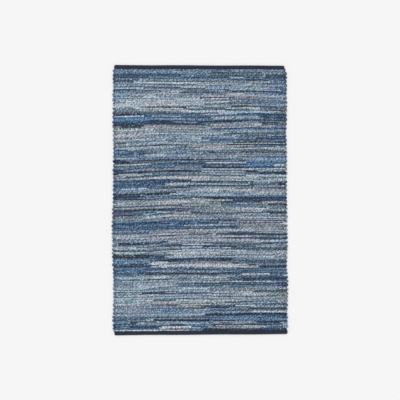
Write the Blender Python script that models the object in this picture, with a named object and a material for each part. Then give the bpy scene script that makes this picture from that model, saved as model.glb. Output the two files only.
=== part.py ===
"""A flat-woven rag rug with a strip of navy tape folded over each end.

X runs across the rug, Y along it and Z up from the floor. The origin is on the floor, under the
middle of the rug. The picks are the rows of rag that lie across the rug. They are counted from
the end at +Y, and each one is a raised rib on the upper face. The underside is flat.
"""

import math
import random

import bmesh
import bpy

# Driving dimensions, in metres
RUG_LENGTH = 1.394  # over both folded ends
HALF_WIDTH = 0.450  # from the middle to a selvedge, on average
RUG_THICKNESS = 0.0070  # floor to the highest rib
FURROW_DEPTH = 0.0017  # from a rib's crown down to the furrow beside it
PICKS = 128
TAPE_THICKNESS = 0.0012
BINDING_DEPTH = 0.0208  # how far the tape reaches over the rug from each end
BINDING_THICKNESS = 0.0060
CLEARANCE = 0.0003  # between the tape and the cloth inside it

# How far each selvedge lies outside HALF_WIDTH. The rug isn't quite straight.
SELVEDGES = (
    # (distance from the top end, left, right)
    (0.000, -0.005, -0.010),
    (0.050, -0.003, -0.002),
    (0.270, -0.001, -0.001),
    (0.340, -0.002, -0.006),
    (0.400, -0.006, -0.003),
    (0.520, -0.003, -0.001),
    (0.640, -0.003, -0.001),
    (0.830, 0.003, 0.002),
    (0.950, 0.001, 0.002),
    (1.030, -0.001, -0.001),
    (1.080, -0.004, 0.001),
    (1.140, -0.004, 0.005),
    (1.270, -0.002, 0.002),
    (1.325, 0.000, 0.003),
    (1.394, -0.002, 0.004),
)

# Where each tape is cut off, from the middle of the rug
TAPES = (
    # (name, end of the rug, left cut, right cut)
    ("binding_top", 1, -0.441, 0.436),
    ("binding_bottom", -1, -0.440, 0.452),
)

# How much further in each end lies at the right than at the left. The ends aren't quite square.
TOP_SLANT = 0.0033
BOTTOM_SLANT = 0.0060

# The weave
SEED = 191
WEIGHT_SPREAD = 0.20  # how much thicker or thinner than the average a whole rag may be
WEIGHT_DRIFT = 0.17  # how much its thickness changes on the way across
BOW = 0.012  # how much lower down the rug the rags lie at the left selvedge, halfway along
BOW_REACH = 0.4  # the share of the width over which they climb out of it
CROWN_SPREAD = 0.0007  # how much lower than the highest rib a rib may be
TURN_DEPTH = 0.0050  # how far a weft turn bulges out of the selvedge
TURN_SPREAD = 0.55  # how much one turn differs from the next
TURN_ROUNDNESS = 0.6  # 1 is a sine, and less is rounder with a sharper notch
TURN_MEAN = 0.6  # the average of that curve
UNDERCUT = 0.0012  # how far the underside's edge lies inside the selvedge
RIB_ROWS = ((0.0, False), (0.28, True), (0.72, True))  # (share of a pick, on the crown)

# The cloth's upper face next to a selvedge. Tight edge warps draw a groove along it.
EDGE_PROFILE = (
    # (distance in from the selvedge, drop below the crown, share of the furrow's depth)
    (0.000, 0.003, 0.35),
    (0.003, 0.000, 1.00),
    (0.010, 0.001, 1.00),
    (0.018, 0.000, 1.00),
)
MIDDLE_SHARES = (0.25, 0.50, 0.75)  # the lines of points between the two edge profiles

# The tape's fold
FOLD_RADIUS = 0.0026
FOLD_STEPS = 4
TAPE_SPANS = 12  # straight stretches along the tape
TAPE_WAVE = 0.0009  # how far the folded end wanders inwards
TAPE_WAVES = 2.5  # how often it does so along the tape
CORNER_RADIUS = 0.0070  # of the folded end's corner at each cut end
CORNER_STEPS = 3
TONGUE_INSET = 0.0045  # from the tape's cut ends in to the cloth inside it
TONGUE_STOP = 0.0035  # from the folded end in to the cloth inside it

WOVEN_LENGTH = RUG_LENGTH - 2 * (BINDING_DEPTH + CLEARANCE)
TONGUE_LOW = TAPE_THICKNESS + CLEARANCE
TONGUE_HIGH = BINDING_THICKNESS - TAPE_THICKNESS - CLEARANCE


def clear_scene():
    for thing in list(bpy.data.objects):
        bpy.data.objects.remove(thing, do_unlink=True)


def plain_material(name, colour, roughness):
    material = bpy.data.materials.new(name)
    material.use_nodes = True
    shader = material.node_tree.nodes["Principled BSDF"]
    shader.inputs["Base Color"].default_value = (*colour, 1.0)
    shader.inputs["Roughness"].default_value = roughness
    shader.inputs["Metallic"].default_value = 0.0
    return material


def add_object(name, mesh_builder, material):
    """Closes the builder's mesh, turns its faces outwards and puts it in the scene."""
    bmesh.ops.recalc_face_normals(mesh_builder, faces=mesh_builder.faces)
    mesh = bpy.data.meshes.new(name)
    mesh_builder.to_mesh(mesh)
    mesh_builder.free()
    mesh.materials.append(material)
    thing = bpy.data.objects.new(name, mesh)
    bpy.context.scene.collection.objects.link(thing)
    return thing


def bridge_rings(rings):
    """A closed body through rings of points, which all have the same number of points."""
    body = bmesh.new()
    loops = [[body.verts.new(point) for point in ring] for ring in rings]
    count = len(loops[0])
    for ring, following in zip(loops, loops[1:]):
        for i in range(count):
            j = (i + 1) % count
            body.faces.new((ring[i], ring[j], following[j], following[i]))
    body.faces.new(reversed(loops[0]))
    body.faces.new(loops[-1])
    return body


def eased(t):
    return t * t * (3.0 - 2.0 * t)


def selvedge(distance, column):
    """Half the width on one side (column 1 is left, 2 is right), some way from the top end."""
    for row, following in zip(SELVEDGES, SELVEDGES[1:]):
        if distance <= following[0]:
            t = (distance - row[0]) / (following[0] - row[0])
            return HALF_WIDTH + row[column] + eased(t) * (following[column] - row[column])
    return HALF_WIDTH + SELVEDGES[-1][column]


class Weave:
    """How thick each rag is, how high its rib stands and how far its turns bulge."""

    def __init__(self):
        dice = random.Random(SEED)
        self.rags = [
            (
                1.0 + WEIGHT_SPREAD * dice.uniform(-1, 1),
                WEIGHT_DRIFT * dice.uniform(0.2, 1),
                dice.uniform(0.5, 1.5),
                dice.random(),
            )
            for _ in range(PICKS)
        ]
        self.crowns = [RUG_THICKNESS - CROWN_SPREAD * dice.random() for _ in range(PICKS)]
        self.turns = [
            [TURN_DEPTH * (1.0 + TURN_SPREAD * dice.uniform(-1, 1)) for _ in range(PICKS)]
            for _ in range(2)
        ]

    def weight(self, pick, across):
        """The thickness of a rag against the average, 0 to 1 across the rug."""
        mean, drift, waves, start = self.rags[pick]
        return mean + drift * math.sin(2 * math.pi * (waves * across + start))

    def furrows(self, across):
        """The furrows' places along the rug, from the first to the last, 0 to 1 across it."""
        weights = [self.weight(pick, across) for pick in range(PICKS)]
        scale = WOVEN_LENGTH / sum(weights)
        sag = BOW * (1.0 - eased(min(across / BOW_REACH, 1.0)))
        places = []
        filled = 0.0
        for pick, weight in enumerate(weights + [0.0]):
            low = sag * math.sin(math.pi * pick / PICKS) ** 2
            places.append(WOVEN_LENGTH / 2 - filled - low)
            filled += weight * scale
        return places

    def bulge(self, side, place):
        """How far the selvedge bulges at a place counted in picks. A turn joins two picks."""
        shifted = place + side
        turn = int(shifted // 2)
        phase = shifted / 2 - turn
        round_turn = math.sin(math.pi * phase) ** TURN_ROUNDNESS
        return self.turns[side][turn] * (round_turn - TURN_MEAN)


def columns(left, right):
    """(x, 0 to 1 across, drop, share of the furrow's depth) from one selvedge to the other."""
    margin = EDGE_PROFILE[-1][0]
    inner_width = right - left - 2 * margin
    row = [(left + inset, 0.0, drop, depth) for inset, drop, depth in EDGE_PROFILE]
    row += [(left + margin + share * inner_width, share, 0.0, 1.0) for share in MIDDLE_SHARES]
    row += [(right - inset, 1.0, drop, depth) for inset, drop, depth in reversed(EDGE_PROFILE)]
    return row


def woven_ring(weave, furrows, pick, share, on_crown):
    """The points around the rug on one side of a rib: over the top, then the underside."""
    place = pick + share
    middle = (RUG_LENGTH - WOVEN_LENGTH) / 2 + WOVEN_LENGTH * place / PICKS
    left = -selvedge(middle, 1) - weave.bulge(0, place)
    right = selvedge(middle, 2) + weave.bulge(1, place)
    crown = weave.crowns[min(pick, PICKS - 1)]
    points = []
    for x, across, drop, depth in columns(left, right):
        line = furrows[across]
        following = line[min(pick + 1, PICKS)]
        y = line[pick] + share * (following - line[pick])
        furrow = 0.0 if on_crown else FURROW_DEPTH * depth
        points.append((x, y, crown - drop - furrow))
    points.append((right - UNDERCUT, points[-1][1], 0.0))
    points.append((left + UNDERCUT, points[0][1], 0.0))
    return points


def tongue_ring(end, y, left, right, like):
    """The points around the plain cloth inside a tape."""
    low = left + TONGUE_INSET
    high = right - TONGUE_INSET
    first = like[0][0]
    last = like[len(like) - 3][0]
    points = []
    for x, _, _ in like[:-2]:
        points.append((low + (x - first) / (last - first) * (high - low), end * y, TONGUE_HIGH))
    points.append((high, end * y, TONGUE_LOW))
    points.append((low, end * y, TONGUE_LOW))
    return points


def build_field(weave, material):
    furrows = {across: weave.furrows(across) for across in (0.0, *MIDDLE_SHARES, 1.0)}
    rings = []
    for pick in range(PICKS):
        for share, on_crown in RIB_ROWS:
            rings.append(woven_ring(weave, furrows, pick, share, on_crown))
    rings.append(woven_ring(weave, furrows, PICKS, 0.0, False))
    shoulder = WOVEN_LENGTH / 2
    stop = RUG_LENGTH / 2 - TONGUE_STOP
    for _, end, left, right in TAPES:
        like = rings[0] if end > 0 else rings[-1]
        tongue = [tongue_ring(end, y, left, right, like) for y in (shoulder, stop)]
        rings = tongue[::-1] + rings if end > 0 else rings + tongue
    return add_object("woven_field", bridge_rings(rings), material)


def tape_section(end, x, wander):
    """The tape's section, a U on its side, with its open mouth towards the rug."""
    mouth = RUG_LENGTH / 2 - BINDING_DEPTH
    fold = RUG_LENGTH / 2 - wander
    corner = []
    for step in range(FOLD_STEPS + 1):
        angle = math.pi / 2 * step / FOLD_STEPS
        y = fold - FOLD_RADIUS * (1.0 - math.sin(angle))
        corner.append((y, FOLD_RADIUS * (1.0 - math.cos(angle))))
    lower = [(mouth, 0.0)] + corner
    upper = [(y, BINDING_THICKNESS - z) for y, z in reversed(lower)]
    hollow = fold - TAPE_THICKNESS
    inside = [(mouth, TAPE_THICKNESS), (hollow, TAPE_THICKNESS)]
    inside += [(y, BINDING_THICKNESS - z) for y, z in reversed(inside)]
    return [(x, end * y, z) for y, z in lower + upper + inside[::-1]]


def tape_stations(left, right):
    """(x, how far the round corner draws the fold in) from one cut end of a tape to the other."""
    corner = []
    for step in range(CORNER_STEPS):
        angle = math.pi / 2 * step / CORNER_STEPS
        inset = CORNER_RADIUS * (1.0 - math.cos(angle))
        corner.append((inset, CORNER_RADIUS * (1.0 - math.sin(angle))))
    first = left + CORNER_RADIUS
    length = right - left - 2 * CORNER_RADIUS
    straight = [(first + length * span / TAPE_SPANS, 0.0) for span in range(TAPE_SPANS + 1)]
    start = [(left + inset, drawn) for inset, drawn in corner]
    stop = [(right - inset, drawn) for inset, drawn in reversed(corner)]
    return start + straight + stop


def build_tape(name, end, left, right, material):
    """A strip of tape folded over one end. Its folded edge wanders a little."""
    rings = []
    for x, drawn in tape_stations(left, right):
        share = (x - left) / (right - left)
        wander = TAPE_WAVE * math.sin(math.pi * TAPE_WAVES * share) ** 2
        rings.append(tape_section(end, x, drawn + wander))
    return add_object(name, bridge_rings(rings), material)


def slant_ends(things):
    """Draws both ends of the rug inwards, from nothing at the left to the most at the right."""
    for thing in things:
        for corner in thing.data.vertices:
            across = corner.co.x / (2 * HALF_WIDTH) + 0.5
            up = corner.co.y / RUG_LENGTH + 0.5
            corner.co.y += across * (BOTTOM_SLANT * (1.0 - up) - TOP_SLANT * up)


def centre_across(things):
    """Moves the whole rug sideways, so that the origin is halfway between its widest turns."""
    places = [corner.co.x for thing in things for corner in thing.data.vertices]
    shift = -(min(places) + max(places)) / 2
    for thing in things:
        for corner in thing.data.vertices:
            corner.co.x += shift


def build():
    clear_scene()
    rags = plain_material("rag_weave", (0.16, 0.21, 0.27), 0.92)
    tape = plain_material("navy_tape", (0.022, 0.027, 0.060), 0.88)
    things = [build_field(Weave(), rags)]
    for name, end, left, right in TAPES:
        things.append(build_tape(name, end, left, right, tape))
    slant_ends(things)
    centre_across(things)


build()
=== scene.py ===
"""The looks of the rag rug: every rag of its weft, the warp threads that hold them, and the navy
tape folded and sewn over each end.

X runs across the rug, Y along it and Z up from the floor. The weft is two long strands of joined
rags, laid side by side and woven back and forth, so each pick is two rows of rag. Rows are
counted down the rug from the end at +Y, two to a pick.
"""

import math
import random

import bmesh
import bpy
import numpy as np
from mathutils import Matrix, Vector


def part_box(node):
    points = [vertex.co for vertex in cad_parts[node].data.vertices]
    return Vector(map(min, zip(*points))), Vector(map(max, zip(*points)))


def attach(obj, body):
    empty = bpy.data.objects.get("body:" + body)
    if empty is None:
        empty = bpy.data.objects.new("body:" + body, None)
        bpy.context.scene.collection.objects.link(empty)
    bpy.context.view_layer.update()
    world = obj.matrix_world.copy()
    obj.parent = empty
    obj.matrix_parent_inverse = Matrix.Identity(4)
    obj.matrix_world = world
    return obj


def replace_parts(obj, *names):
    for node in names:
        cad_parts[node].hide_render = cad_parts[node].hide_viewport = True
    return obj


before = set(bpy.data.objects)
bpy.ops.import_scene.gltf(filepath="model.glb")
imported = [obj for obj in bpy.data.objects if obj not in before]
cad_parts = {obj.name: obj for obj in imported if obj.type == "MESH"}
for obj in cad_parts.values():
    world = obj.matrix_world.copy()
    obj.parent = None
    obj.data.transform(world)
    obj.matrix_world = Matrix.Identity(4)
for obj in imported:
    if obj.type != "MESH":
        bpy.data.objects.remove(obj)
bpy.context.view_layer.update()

# ---------------------------------------------------------------- sizes shared with the solids
RUG_LENGTH = 1.394
HALF_WIDTH = 0.450
RUG_THICKNESS = 0.0070
PICKS = 128
ROWS = 2 * PICKS
TAPE_THICKNESS = 0.0012
BINDING_DEPTH = 0.0208
BINDING_THICKNESS = 0.0060
CLEARANCE = 0.0003
TAPE_LEFT_CUT = 0.440  # from the middle of the rug to the left cut of the bottom tape
WOVEN_LENGTH = RUG_LENGTH - 2 * (BINDING_DEPTH + CLEARANCE)
SIDE_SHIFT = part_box("binding_bottom")[0].x + TAPE_LEFT_CUT  # from that middle to the origin

SELVEDGES = (
    # (distance from the top end, left, right), how far each lies outside HALF_WIDTH
    (0.000, -0.005, -0.010),
    (0.050, -0.003, -0.002),
    (0.270, -0.001, -0.001),
    (0.340, -0.002, -0.006),
    (0.400, -0.006, -0.003),
    (0.520, -0.003, -0.001),
    (0.640, -0.003, -0.001),
    (0.830, 0.003, 0.002),
    (0.950, 0.001, 0.002),
    (1.030, -0.001, -0.001),
    (1.080, -0.004, 0.001),
    (1.140, -0.004, 0.005),
    (1.270, -0.002, 0.002),
    (1.325, 0.000, 0.003),
    (1.394, -0.002, 0.004),
)
TOP_SLANT = 0.0033  # how much further in each end lies at the right than at the left
BOTTOM_SLANT = 0.0060
SEED = 191
WEIGHT_SPREAD = 0.20  # how far a pick's depth lies from the mean, as a share of it
WEIGHT_DRIFT = 0.17  # how far it strays from that on its way across, at most
BOW = 0.012  # how far the picks sag at the left, halfway down the rug
BOW_REACH = 0.4  # the share of the width in which that sag dies away
CROWN_SPREAD = 0.0007  # how far a pick's crown may lie below the rug's full thickness
TURN_DEPTH = 0.0050  # how far a turn of the weft stands out of the notches beside it
TURN_SPREAD = 0.55  # how far that strays, as a share of it
TURN_CROWN = 0.4  # the share of that depth by which a turn passes the mean selvedge
EDGE_MARGIN = 0.018  # the strip along each selvedge where the picks run straight

# ---------------------------------------------------------------- the weave
WARP_PITCH = 0.0088
WARPS = 100
WARP_JITTER = 0.0007  # how far a warp thread lies from its even place
WARP_RADIUS = 0.00055
WARP_OVER = 0.0052  # the height of a warp's middle where it passes over a pick
WARP_UNDER = 0.0015  # the same where it passes under one
WARP_WANDER = 0.0004  # how far it strays from a straight line
WARP_TAIL = 0.004  # how far it runs on under each tape
EDGE_WARP_RADIUS = 0.0009
EDGE_WARPS = (0.0085, 0.0112)  # distances in from each selvedge
EDGE_WARP_RISE = 0.0003  # how much higher they lie than the others
EDGE_SMOOTHING = 12  # the picks on each side over which their route is evened out
RAG_MIDDLE = 0.0034  # the height of a rag's middle between warps
RAG_LIFT = 0.0009  # how far it climbs over a warp and dives under one
CLIMB = (-1.0, 0.3, 1.0)  # the share of that lift under a warp, halfway and over one
SWELL = (0.88, 1.05, 1.10)  # how full it is at these places
HEIGHT_SWELL = 0.04  # how much taller it is over a warp than halfway, as a share
RAG_FULLNESS = 0.60  # half its width between warps, as a share of its row
RAG_SIDES = 6
RAG_BOXINESS = 0.8  # 1 makes its section an ellipse, and less squares it
RAG_END = 0.7  # how full its ends are, where it tucks under its neighbours
LUMPINESS = 0.10  # how far each of its sides bulges or sinks, as a share
LUMP_LIMITS = (-1.5, 1.2)  # the least and most lumpy place, in parts of that
WIDTH_SPREAD = 0.10  # how far its width strays along it, as a share
HEIGHT_SPREAD = 0.05
TWIST = 0.35  # how far it is turned about its own line, in radians
SWAY = 0.0003  # how far that line strays along the rug
FLOOR_GAP = 0.0001  # nothing lies lower than this, nor higher than the next
HIGHEST = 0.0076
TIP = 0.25  # how far a tube's tip stands out, as a share of its last step
TURN_STEPS = 7
TURN_ROUNDNESS = 0.8  # 1 makes a turn half an ellipse, and less squares it
TURN_FULLNESS = (1.05, 0.8)  # how wide the outer and the inner strand are in it
TURN_HEIGHT = 0.0027  # half its height
TONE_SPREAD = 0.36  # how far a rag's tone lies from its cloth's
STEADY = ("ink", "navy", "bark", "cream", "blush")  # these make lone dark and pale lines
STEADY_SPREAD = 0.12  # the same for them
MEAN_TONE = 0.47  # 0 is a cloth's darker thread, 0.5 its colour and 1 its paler thread
TONE_SEED = 236  # for the rags' tones, lumps and twist
TURNED = 0.22  # how far the tone strays from one fold of a rag to the next
FOLD_CONTRAST = 0.4  # the share of both neighbours' tones that is taken off a fold's own
REVERSED = 0.30  # how far the tone strays round a rag, whose reverse is paler than its face
WINDING = (0.3, 1.9)  # by how much that side winds round it in each half of a warp's pitch
EDGE_SHADE_AND_DARKENING = (
    # (place across from the middle, tone): painted shade in the groove just inside the left turns, and
    # darker towards the right selvedge
    (-0.445, 0.00),
    (-0.438, -0.26),
    (-0.430, 0.00),
    (0.380, 0.00),
    (0.425, -0.08),
    (0.445, -0.06),
)
CELL = 0.01  # the chart's step across the rug, in metres
CELLS = 92
RIGHT_CM = 88  # whatever the chart ends at or past this place ends at the right selvedge

CLOTHS = {
    # name: (colour, paler thread, darker thread, flecks)
    "ash": ((132, 147, 161), (204, 216, 227), (68, 84, 102), 0.6),
    "mist": ((113, 136, 157), (192, 210, 225), (55, 80, 103), 0.6),
    "sky": ((98, 131, 164), (172, 198, 222), (48, 80, 114), 0.45),
    "lavender": ((126, 138, 162), (192, 202, 221), (70, 84, 110), 0.5),
    "rose": ((141, 145, 157), (206, 208, 217), (78, 89, 104), 0.6),
    "blush": ((190, 192, 199), (234, 233, 237), (114, 121, 132), 0.5),
    "cream": ((189, 200, 211), (230, 238, 244), (113, 128, 144), 0.6),
    "foam": ((129, 156, 172), (196, 216, 228), (70, 99, 119), 0.5),
    "tan": ((142, 149, 153), (199, 203, 204), (78, 89, 95), 0.5),
    "olive": ((124, 141, 144), (188, 200, 201), (67, 86, 91), 0.5),
    "rust": ((114, 113, 119), (172, 171, 177), (62, 66, 74), 0.35),
    "slate": ((76, 99, 119), (143, 164, 186), (35, 56, 75), 0.4),
    "charcoal": ((53, 71, 88), (111, 130, 149), (25, 39, 53), 0.3),
    "bark": ((46, 53, 64), (98, 106, 118), (22, 28, 36), 0.2),
    "teal": ((61, 101, 126), (128, 166, 189), (28, 60, 83), 0.3),
    "mid": ((71, 105, 140), (142, 174, 204), (32, 62, 95), 0.4),
    "cerulean": ((49, 96, 141), (118, 161, 200), (21, 58, 97), 0.3),
    "denim": ((46, 80, 115), (113, 144, 176), (21, 49, 79), 0.35),
    "deep": ((31, 65, 98), (87, 123, 158), (13, 37, 62), 0.3),
    "plum": ((53, 68, 98), (110, 124, 154), (27, 39, 62), 0.25),
    "navy": ((26, 47, 75), (78, 102, 134), (11, 26, 45), 0.2),
    "ink": ((20, 34, 49), (64, 81, 98), (9, 18, 28), 0.15),
}
NAMES = list(CLOTHS)

KIN = {
    # cloth: the cloths that a short rag may be torn from, where several rows of it lie together
    "ash": ("mist", "slate", "rose", "cream"),
    "mist": ("ash", "slate", "sky", "foam"),
    "sky": ("mist", "mid", "foam"),
    "lavender": ("ash", "sky", "rose"),
    "rose": ("ash", "slate", "lavender", "tan"),
    "blush": ("rose", "ash", "mist"),
    "cream": ("ash", "blush", "mist"),
    "foam": ("mist", "teal", "ash"),
    "tan": ("ash", "rose", "slate"),
    "olive": ("ash", "foam", "slate"),
    "rust": ("tan", "slate"),
    "slate": ("mid", "charcoal", "mist"),
    "charcoal": ("slate", "bark", "ink"),
    "bark": ("charcoal", "slate"),
    "teal": ("mid", "mist", "deep"),
    "mid": ("denim", "sky", "slate", "mist"),
    "cerulean": ("denim", "mid", "deep"),
    "denim": ("mid", "deep", "cerulean"),
    "deep": ("denim", "navy", "teal"),
    "plum": ("denim", "navy", "slate"),
    "navy": ("denim", "deep", "ink"),
    "ink": ("charcoal", "navy"),
}
KIN_SHARE = 0.55  # the share of such rows that hold a rag of another cloth
KIN_LENGTHS = (6, 34)  # its length, in centimetres

MIXES = {
    # name: the cloths that the random rags of a stretch are torn from, and how many of each
    "pale": {"mist": 8, "ash": 6, "sky": 3, "lavender": 3, "rose": 2, "foam": 2, "slate": 7,
             "mid": 3, "charcoal": 1, "blush": 1},
    "misty": {"mist": 8, "ash": 8, "sky": 3, "foam": 3, "slate": 3, "lavender": 2, "rose": 1},
    "light": {"ash": 7, "rose": 4, "blush": 2, "cream": 1, "mist": 4, "tan": 2, "slate": 4, "foam": 2},
    "rosy": {"rose": 8, "ash": 4, "lavender": 3, "slate": 4, "mist": 2, "tan": 1, "blush": 1},
    "warm": {"ash": 6, "rose": 4, "cream": 1, "tan": 2, "slate": 4, "mist": 3, "lavender": 2,
             "charcoal": 1},
    "grey": {"ash": 4, "slate": 6, "mist": 4, "lavender": 2, "rose": 2, "charcoal": 2, "mid": 2},
    "drab": {"ash": 5, "tan": 5, "rose": 3, "olive": 3, "slate": 2, "foam": 1, "rust": 1},
    "bluish": {"mist": 4, "sky": 5, "mid": 4, "slate": 4, "lavender": 2, "ash": 2, "denim": 1},
    "blue": {"denim": 4, "mid": 4, "deep": 2, "sky": 1, "slate": 2, "teal": 1, "navy": 1},
    "deep": {"navy": 4, "deep": 4, "denim": 3, "slate": 1, "plum": 1},
    "dark": {"charcoal": 4, "slate": 4, "ink": 1, "navy": 1, "mist": 1},
}

ZONES = (
    # (first row, last row, from, to, mix), the places across in centimetres from the left
    (0, 255, 0, 92, "pale"),
    (0, 3, 0, 92, "bluish"),
    (4, 9, 45, 92, "grey"),
    (5, 9, 0, 45, "blue"),
    (9, 12, 0, 92, "bluish"),
    (14, 18, 45, 92, "blue"),
    (19, 24, 45, 60, "light"),
    (22, 24, 0, 22, "grey"),
    (25, 29, 45, 60, "rosy"),
    (29, 33, 57, 92, "grey"),
    (30, 40, 0, 38, "light"),
    (34, 40, 38, 57, "bluish"),
    (34, 41, 57, 92, "rosy"),
    (37, 42, 12, 36, "drab"),
    (42, 50, 0, 92, "blue"),
    (50, 54, 0, 62, "blue"),
    (54, 62, 0, 52, "drab"),
    (60, 65, 0, 92, "misty"),
    (64, 66, 0, 20, "light"),
    (65, 72, 62, 92, "grey"),
    (67, 73, 0, 45, "misty"),
    (73, 77, 38, 60, "warm"),
    (74, 79, 60, 92, "bluish"),
    (78, 81, 18, 92, "grey"),
    (79, 88, 0, 22, "bluish"),
    (82, 86, 40, 74, "rosy"),
    (85, 88, 12, 40, "rosy"),
    (87, 90, 66, 92, "blue"),
    (89, 91, 0, 66, "dark"),
    (91, 97, 18, 92, "blue"),
    (99, 103, 20, 45, "bluish"),
    (103, 107, 6, 32, "bluish"),
    (103, 109, 6, 92, "light"),
    (110, 116, 0, 30, "blue"),
    (110, 116, 45, 92, "grey"),
    (111, 116, 30, 45, "pale"),
    (117, 121, 0, 92, "warm"),
    (122, 127, 0, 47, "bluish"),
    (124, 127, 47, 92, "deep"),
    (128, 133, 0, 45, "light"),
    (129, 133, 45, 92, "warm"),
    (134, 139, 45, 92, "light"),
    (138, 142, 0, 25, "deep"),
    (138, 142, 25, 40, "rosy"),
    (138, 146, 40, 50, "drab"),
    (141, 147, 45, 92, "warm"),
    (144, 146, 12, 45, "drab"),
    (148, 157, 0, 45, "blue"),
    (148, 157, 45, 62, "grey"),
    (149, 158, 62, 92, "light"),
    (158, 163, 0, 45, "grey"),
    (165, 171, 20, 80, "rosy"),
    (171, 177, 56, 92, "grey"),
    (173, 176, 0, 45, "misty"),
    (177, 183, 30, 92, "light"),
    (182, 184, 0, 20, "grey"),
    (185, 190, 19, 92, "grey"),
    (185, 191, 0, 19, "blue"),
    (191, 193, 22, 72, "light"),
    (191, 201, 0, 22, "blue"),
    (194, 201, 30, 66, "blue"),
    (196, 198, 60, 92, "blue"),
    (203, 206, 62, 92, "deep"),
    (207, 218, 0, 32, "misty"),
    (212, 216, 18, 36, "grey"),
    (212, 220, 32, 50, "drab"),
    (213, 223, 45, 80, "rosy"),
    (221, 232, 0, 52, "warm"),
    (226, 238, 52, 92, "grey"),
    (233, 246, 0, 50, "bluish"),
    (239, 247, 45, 92, "deep"),
    (247, 254, 0, 48, "blue"),
)

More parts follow.
